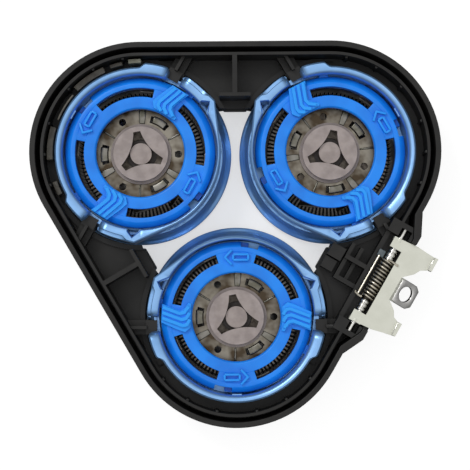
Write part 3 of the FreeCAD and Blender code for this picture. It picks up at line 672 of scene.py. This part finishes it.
# Lifters. Thin spring-steel stars under the cutters, with a bent finger before each blade.
# A finger stands between two blades, so the cutter's holes look down past the star.
star_radii = (2.45, 4.6)
star_heights = (4.7, 4.9)
star_thickness = 0.2
finger_count = 9
finger_outer = 7.8
finger_half = 0.45
finger_foot = 0.65
star_tones = ((0.05, 0.042, 0.035, 1), (0.12, 0.105, 0.09, 1))
spring_steel = steel_finish("oiled_steel", star_tones, size=0.8, rough=(0.4, 0.5))
for head in "abc":
    star = bmesh.new()
    arc_bar(star, star_radii, (0, 360), star_heights)
    low, high = star_heights
    for i in range(finger_count):
        turn = Matrix.Rotation(math.radians(360 / finger_count * (i + 0.5)), 3, "Z")
        for reach, foot in ((star_radii[1], low), (finger_outer, finger_foot)):
            start = reach - star_thickness
            corners = ((start, -finger_half), (finger_outer, -finger_half), (finger_outer, finger_half),
                       (start, finger_half))
            swept(star, [[turn @ Vector((x, y, z)) for x, y in corners] for z in (foot, high)])
    star = new_piece("lifter_star_" + head, star, head_place(head))
    fitted(star, "cutter_" + head, spring_steel, "cap_steel", "lifter_" + head)

# Cutters. Stamped steel wheels, tinted by heat, with nine leaning blades. Three small round
# holes lie on one circle between the hub and the blades.
cutter_edge = 0.04
hole_radius = 0.56
hole_middle = 5.925
hole_heights = (4.0, 7.0)
hole_sides = 20
third_turns = (0, 120, 240)
rotor_turns = {"a": 0.0, "b": -21.0, "c": 0.0}
cutter_tones = ((0.06, 0.045, 0.03, 1), (0.235, 0.215, 0.18, 1))
blade_steel = steel_finish("stamped_steel", cutter_tones, size=2.2, rough=(0.22, 0.4))


def carved(piece, tools):
    """Takes the shape of the tools out of a piece."""
    cut = piece.modifiers.new("cut", "BOOLEAN")
    cut.operation = "DIFFERENCE"
    cut.solver = "EXACT"
    cut.object = tools
    graph = bpy.context.evaluated_depsgraph_get()
    piece.data = bpy.data.meshes.new_from_object(piece.evaluated_get(graph))
    piece.modifiers.remove(cut)
    bpy.data.objects.remove(tools)


for head in "abc":
    node = "cutter_" + head
    drills = bmesh.new()
    for turn in third_turns:
        column(drills, circle(hole_radius, hole_sides, polar(hole_middle, turn)), hole_heights)
    wheel = whole(node)
    carved(wheel, new_piece("drills", drills, head_place(head, rotor_turns[head])))
    rounded(wheel, cutter_edge)
    fitted(wheel, "cutter_" + head, blade_steel, "cutter_steel", node)

# Carrier bars. Three curved bars and three short ribs of bright steel that are riveted in
# the cutter's curved slots and between them, each with a dark gap at one end.
bar_radii = (5.3, 6.45)
bar_span = (49, 71)
bar_heights = (4.9, 5.95)
bar_edge = 0.12
rib_radii = (4.85, 7.6)
rib_spans = ((83, 93), (26.5, 29.5))
rib_heights = (4.9, 5.75)
bright_tones = ((0.12, 0.115, 0.09, 1), (0.22, 0.21, 0.19, 1))
bright_steel = steel_finish("bright_steel", bright_tones, size=1.4, rough=(0.22, 0.36))
for head in "abc":
    bars = bmesh.new()
    for turn in third_turns:
        arc_bar(bars, bar_radii, [angle + turn for angle in bar_span], bar_heights)
        for span in rib_spans:
            arc_bar(bars, rib_radii, [angle + turn for angle in span], rib_heights)
    bars = new_piece("carrier_bars_" + head, bars, head_place(head, rotor_turns[head]), bar_edge)
    fitted(bars, "cutter_" + head, bright_steel, "cutter_steel")

# Cutter hubs. Grey-brown moulded discs with a three-cornered socket that is painted
# darker towards its floor, a painted shade.
hub_edge = 0.1
hub_tones = ((0.27, 0.225, 0.21, 1), (0.36, 0.305, 0.285, 1))
socket_painted_shade = (0.045, 0.032, 0.028, 1)
socket_shade_heights = (6.3, 5.2)
taupe = moulding("taupe_moulding", hub_tones, size=1.5, rough=(0.4, 0.55), specular=0.5)
# Painted shade: the hub darkens from 6.3 mm down to 5.2 mm, in the socket.
shade_by_height(taupe, socket_painted_shade, socket_shade_heights)
for head in "abc":
    node = "cutter_hub_" + head
    fitted(softened(node, hub_edge), "cutter_" + head, taupe, "hub_grey", node)

# Retaining rings. Bright blue bayonet rings, moulded in one piece: a sloped outer edge,
# four windows, two grips with nested chevrons, two arrows, four feet and two tongues.
ring_top = 8.6
ring_under = 7.1
ring_bands = ((6.95, 8.3), (7.15, 8.55), (7.4, 8.6), (8.8, 8.6), (8.85, 8.55), (10.25, 8.55),
              (10.3, 8.6), (10.85, 8.6), (11.05, 8.55), (11.7, 8.0), (11.85, 7.8))
window_band = 4
notch_bands = (8, 9)
window_spans = ((17, 72), (108, 168), (197, 252), (288, 348))
edge_notches = ((72, 86), (252, 266))
ring_step = 3
ring_edge = 0.08
relief_edge = 0.07
relief_sink = 0.1
grip_top = 9.25
grip_outline = ((-11.6, 2.2), (-9.5, 1.3), (-8.7, 1.1), (-8.05, 1.5), (-7.5, 2.3), (-7.05, 2.2),
                (-7.15, -1.6), (-8.0, -2.3), (-9.1, -1.95), (-11.75, -0.75))
chevrons = (((-11.5, 1.65), (-8.85, 0.62), (-8.1, 0.8), (-7.4, 1.75)),
            ((-11.55, 0.8), (-8.55, -0.32), (-7.85, -0.15), (-7.25, 0.75)),
            ((-11.6, -0.05), (-8.4, -1.25), (-7.75, -1.15), (-7.25, -0.3)))
chevron_width = 0.55
chevron_top = 9.75
arrow_head = ((-0.65, 8.2), (-1.75, 9.35), (-0.65, 10.5))
arrow_shaft = ((-0.45, 8.95), (1.9, 8.95), (1.9, 9.8), (-0.45, 9.8))
arrow_width = 0.36
arrow_top = 9.22
foot_radii = (10.75, 11.8)
foot_angles = (0, 90, 180, 270)
foot_half_span = 10
foot_heights = (4.85, 7.4)
tongue_radii = (11.5, 12.5)
tongue_angles = (169.5, 334.5)
tongue_half_span = 3.5
tongue_heights = (7.1, 7.8)
ring_tones = ((0.004, 0.20, 0.80, 1), (0.006, 0.26, 0.95, 1))
ring_painted_shade = (0.003, 0.13, 0.58, 1)
ring_painted_light = (0.012, 0.34, 1.0, 1)
ring_shade_heights = (8.45, 7.6)
ring_light_heights = (8.75, 9.4)


def stroke(points, width):
    """Outline of a line of even width through points, with mitred corners."""
    points = [Vector(point) for point in points]
    left = []
    right = []
    for i, point in enumerate(points):
        steps = []
        if i:
            steps.append((point - points[i - 1]).normalized())
        if i + 1 < len(points):
            steps.append((points[i + 1] - point).normalized())
        along = sum(steps, Vector((0, 0))).normalized()
        side = Vector((-along.y, along.x))
        reach = width / 2 / abs(along.dot(steps[0]))
        left.append(point + side * reach)
        right.append(point - side * reach)
    return [tuple(point) for point in left + right[::-1]]


def ring_plate():
    """The flat ring: bands and angles, open at the windows and the notches, drawn down."""
    shape = bmesh.new()
    angles = set(range(0, 360, ring_step))
    for span in window_spans + edge_notches:
        angles |= set(span)
    angles = sorted(angles)
    rows = [[shape.verts.new(polar(radius, angle, z)) for radius, z in ring_bands] for angle in angles]
    for i, row in enumerate(rows):
        ahead = rows[(i + 1) % len(rows)]
        in_window = any(start <= angles[i] < end for start, end in window_spans)
        in_notch = any(start <= angles[i] < end for start, end in edge_notches)
        for band in range(len(ring_bands) - 1):
            if in_window and band == window_band or in_notch and band in notch_bands:
                continue
            shape.faces.new((row[band], row[band + 1], ahead[band + 1], ahead[band]))
    for vert in list(shape.verts):
        if not vert.link_faces:
            shape.verts.remove(vert)
    drawn = bmesh.ops.extrude_face_region(shape, geom=list(shape.faces), use_keep_orig=True)
    for item in drawn["geom"]:
        if isinstance(item, bmesh.types.BMVert):
            item.co.z = ring_under
    return shape


def ring_relief():
    """Grips, chevrons, arrows, feet and tongues of the ring."""
    shape = bmesh.new()
    on_plate = (ring_top - relief_sink, arrow_top)
    for side in (1, -1):
        def raised(outline, heights):
            column(shape, [(side * x, side * y) for x, y in outline], heights)
        raised(grip_outline, (ring_under, grip_top))
        for chevron in chevrons:
            raised(stroke(chevron, chevron_width), (grip_top - relief_sink, chevron_top))
        raised(stroke(arrow_head, arrow_width), on_plate)
        corners = arrow_shaft + arrow_shaft[:1]
        for line in zip(corners, corners[1:]):
            raised(stroke(line, arrow_width), on_plate)
    for angle in foot_angles:
        arc_bar(shape, foot_radii, (angle - foot_half_span, angle + foot_half_span), foot_heights)
    for angle in tongue_angles:
        span = (angle - tongue_half_span, angle + tongue_half_span)
        arc_bar(shape, tongue_radii, span, tongue_heights)
    return shape


blue = moulding("blue_moulding", ring_tones, size=4.0, rough=(0.3, 0.42), specular=0.35)
# Painted shade on the ring below 8.45 mm and painted light on its relief above 8.75 mm.
shade_by_height(blue, ring_painted_shade, ring_shade_heights)
shade_by_height(blue, ring_painted_light, ring_light_heights)
for head in "abc":
    place = head_place(head)
    plate = new_piece("ring_plate_" + head, ring_plate(), place, ring_edge)
    relief = new_piece("ring_relief_" + head, ring_relief(), place, relief_edge)
    for piece in (plate, relief):
        fitted(piece, "ring_" + head, blue, "ring_blue", "retaining_ring_" + head)

# Hinge plate. Satin nickel sheet with two ears on a steel pin, two tabs and a catch loop.
hinge_edge = 0.08
nickel_tones = ((0.59, 0.595, 0.52, 1), (0.64, 0.645, 0.57, 1))
nickel_grain = (0.06, 0.002)
nickel = worked_finish("satin_nickel", nickel_tones, size=2.0, rough=(0.38, 0.5),
                       values={"Metallic": 0.75}, grain=nickel_grain)
fitted(softened("hinge_plate", hinge_edge), "hinge", nickel, "hinge_nickel", "hinge_plate")

# Catch loop. The polished end of the hinge plate, bent down from its notch, with a
# rounded hole for the latch.
loop_root = Vector((27.9, 1.144, 10.1))
loop_drop = math.radians(30)
loop_outline = ((0.15, -2.02), (3.1, -2.02), (3.92, -1.42), (3.92, 1.42), (3.1, 2.02), (0.15, 2.02))
loop_middle = Vector((1.95, 0))
loop_hole = Vector((1.17, 1.25))
loop_heights = (-0.04, 0.54)
loop_points = 24
loop_edge = 0.1
tolerance = 1e-6
polish_tones = ((0.72, 0.71, 0.69, 1), (0.88, 0.87, 0.85, 1))


def side_place():
    """Placement of the hinge side's millimetres: X out of the unit, Y along the side."""
    outward = unit_middle - middle("guard_cap_a")
    spot = Matrix.Translation((unit_middle.x, unit_middle.y, 0))
    return spot @ Matrix.Rotation(math.atan2(outward.y, outward.x), 4, "Z") @ Matrix.Scale(mm, 4)


def edge_reach(outline, centre, ray):
    """Point where a ray from a centre leaves an outline of (x, y)."""
    for start, end in zip(outline, outline[1:] + outline[:1]):
        start = Vector(start) - centre
        along = Vector(end) - centre - start
        across = ray.x * along.y - ray.y * along.x
        if abs(across) < tolerance:
            continue
        reach = (start.x * along.y - start.y * along.x) / across
        part = (start.x * ray.y - start.y * ray.x) / across
        if reach > 0 and -tolerance <= part <= 1 + tolerance:
            return centre + ray * reach
    return centre


polished = steel_finish("polished_nickel", polish_tones, size=1.2, rough=(0.1, 0.2))
loop = bmesh.new()
rows = []
low, high = loop_heights
for i in range(loop_points):
    angle = 2 * math.pi * i / loop_points
    ray = Vector((math.cos(angle), math.sin(angle)))
    away = edge_reach(loop_outline, loop_middle, ray)
    hole = loop_middle + loop_hole * ray
    section = ((hole, low), (away, low), (away, high), (hole, high))
    rows.append([Vector((point.x, point.y, z)) for point, z in section])
swept(loop, rows, closed=True)
loop.transform(Matrix.Translation(loop_root) @ Matrix.Rotation(loop_drop, 4, "Y"))
loop = new_piece("catch_loop", loop, side_place(), loop_edge)
fitted(loop, "hinge", polished, "hinge_nickel", "hinge_plate")

# Tab faces. The polished outer faces of the plate's two tabs, beyond their bend.
tab_reach = (30.8, 31.38)
tab_heights = (10.55, 10.74)
tab_middles = (7.17, -4.33)
tab_half_width = 1.06
tab_edge = 0.09
tabs = bmesh.new()
for along in tab_middles:
    block(tabs, tab_reach, (along - tab_half_width, along + tab_half_width), tab_heights)
tabs = new_piece("tab_faces", tabs, side_place(), tab_edge)
fitted(tabs, "hinge", polished, "hinge_nickel", "hinge_plate")

# Hinge pin and bushes. Bright drawn steel; each bush has two turned grooves.
hinge_height = 9.6
hinge_pin_edge = 0.05
bush_starts = {"upper_spring_bush": 4.5, "lower_spring_bush": -4.5}
bush_curve = ((0, 0.53), (0, 0.66), (0.08, 0.75), (0.42, 0.75), (0.48, 0.6), (0.62, 0.6), (0.68, 0.75),
              (1.12, 0.75), (1.18, 0.6), (1.32, 0.6), (1.38, 0.75), (1.72, 0.75), (1.8, 0.66), (1.8, 0.53))
turned_sides = 32
pin_tones = ((0.5, 0.49, 0.46, 1), (0.75, 0.74, 0.70, 1))
pin_low, pin_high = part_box("hinge_pin")
pin_middle = side_place().inverted() @ ((pin_low + pin_high) / 2)


def by_pin(across, along, up):
    """Point beside the hinge axis: out of the unit, along the axis and up from it."""
    return Vector((pin_middle.x + across, along, hinge_height + up))


def turned_on_pin(curve, start):
    """Solid turned about the hinge axis from (along, radius) points."""
    shape = bmesh.new()
    rows = []
    for i in range(turned_sides):
        turn = 2 * math.pi * i / turned_sides
        rows.append([by_pin(radius * math.cos(turn), start + along, radius * math.sin(turn))
                     for along, radius in curve])
    swept(shape, rows, closed=True)
    return shape


drawn_steel = steel_finish("bright_pin", pin_tones, size=0.8, rough=(0.12, 0.22))
fitted(softened("hinge_pin", hinge_pin_edge), "frame", drawn_steel, "pin_steel", "hinge_pin")
for node, start in bush_starts.items():
    bush = new_piece(node + "_turned", turned_on_pin(bush_curve, start), side_place())
    fitted(bush, "frame", drawn_steel, "pin_steel", node)

# Torsion spring. Round wire wound on the pin over a dark sleeve, with a long leg back along
# the coil to a grey keeper in the frame and a short leg on the plate.
coil_radius = 0.98
coil_turns = 12
coil_steps = 20
coil_start = -2.5
coil_end = 4.3
wire_radius = 0.165
wire_sides = 8
leg_out = 1.6
leg_lift = 0.15
leg_ends = (4.5, -2.0)
hook_radius = 0.26
hook_start = -2.2
hook_rise = 0.05
hook_turns = [0.05 + 0.5 * i for i in range(8)]
bridge_points = ((-1.7, -2.5, 0.0), (-0.98, -2.55, 0.0))
short_leg_points = ((-0.2, 4.45, 0.98), (0.5, 4.5, 1.02), (1.75, 4.35, 1.18))
sleeve_curve = ((0, 0.51), (0, 0.62), (7.0, 0.62), (7.0, 0.51))
sleeve_start = -2.65
keeper_across = (-2.0, -0.95)
keeper_along = (4.35, 5.5)
keeper_heights = (9.0, 9.75)
keeper_edge = 0.12
wire_tones = ((0.42, 0.39, 0.31, 1), (0.62, 0.58, 0.49, 1))
sleeve_tones = ((0.02, 0.018, 0.014, 1), (0.045, 0.04, 0.03, 1))
keeper_tones = ((0.06, 0.08, 0.095, 1), (0.11, 0.135, 0.15, 1))


def wire(shape, points):
    """Round wire through points, with its section carried along without twist."""
    turns = [2 * math.pi * i / wire_sides for i in range(wire_sides)]
    side = None
    rows = []
    for i, point in enumerate(points):
        along = (points[min(i + 1, len(points) - 1)] - points[max(i - 1, 0)]).normalized()
        if side is None:
            side = along.orthogonal()
        side = (side - along * side.dot(along)).normalized()
        up = along.cross(side)
        rows.append([point + (side * math.cos(turn) + up * math.sin(turn)) * wire_radius for turn in turns])
    swept(shape, rows)


wound = []
count = coil_turns * coil_steps
for i in range(count + 1):
    turn = math.radians(180 - 360 * i / coil_steps)
    along = coil_end + (coil_start - coil_end) * i / count
    wound.append(by_pin(coil_radius * math.cos(turn), along, coil_radius * math.sin(turn)))
long_leg = [by_pin(-leg_out, along, leg_lift) for along in leg_ends]
for turn in hook_turns:
    across = hook_radius * (math.cos(turn) - 1) - leg_out
    along = hook_start - hook_radius * math.sin(turn)
    long_leg.append(by_pin(across, along, leg_lift + hook_rise * turn))
bridge = [by_pin(*point) for point in bridge_points]
short_leg = [by_pin(*point) for point in short_leg_points]
coil = bmesh.new()
for route in (wound, long_leg, bridge, short_leg):
    wire(coil, route)
wire_finish = steel_finish("spring_wire", wire_tones, size=0.9, rough=(0.22, 0.34))
coil = new_piece("spring_wire", coil, side_place())
fitted(coil, "frame", wire_finish, "pin_steel", "torsion_spring")
sleeve_finish = steel_finish("dark_sleeve", sleeve_tones, size=0.8, rough=(0.35, 0.5))
sleeve = new_piece("pin_sleeve", turned_on_pin(sleeve_curve, sleeve_start), side_place())
fitted(sleeve, "frame", sleeve_finish, "pin_steel")
keeper = bmesh.new()
block(keeper, [pin_middle.x + across for across in keeper_across], keeper_along, keeper_heights)
grey = moulding("grey_keeper", keeper_tones, size=1.0, rough=(0.3, 0.45), specular=0.4)
keeper = new_piece("leg_keeper", keeper, side_place(), keeper_edge)
fitted(keeper, "frame", grey, "frame_black")
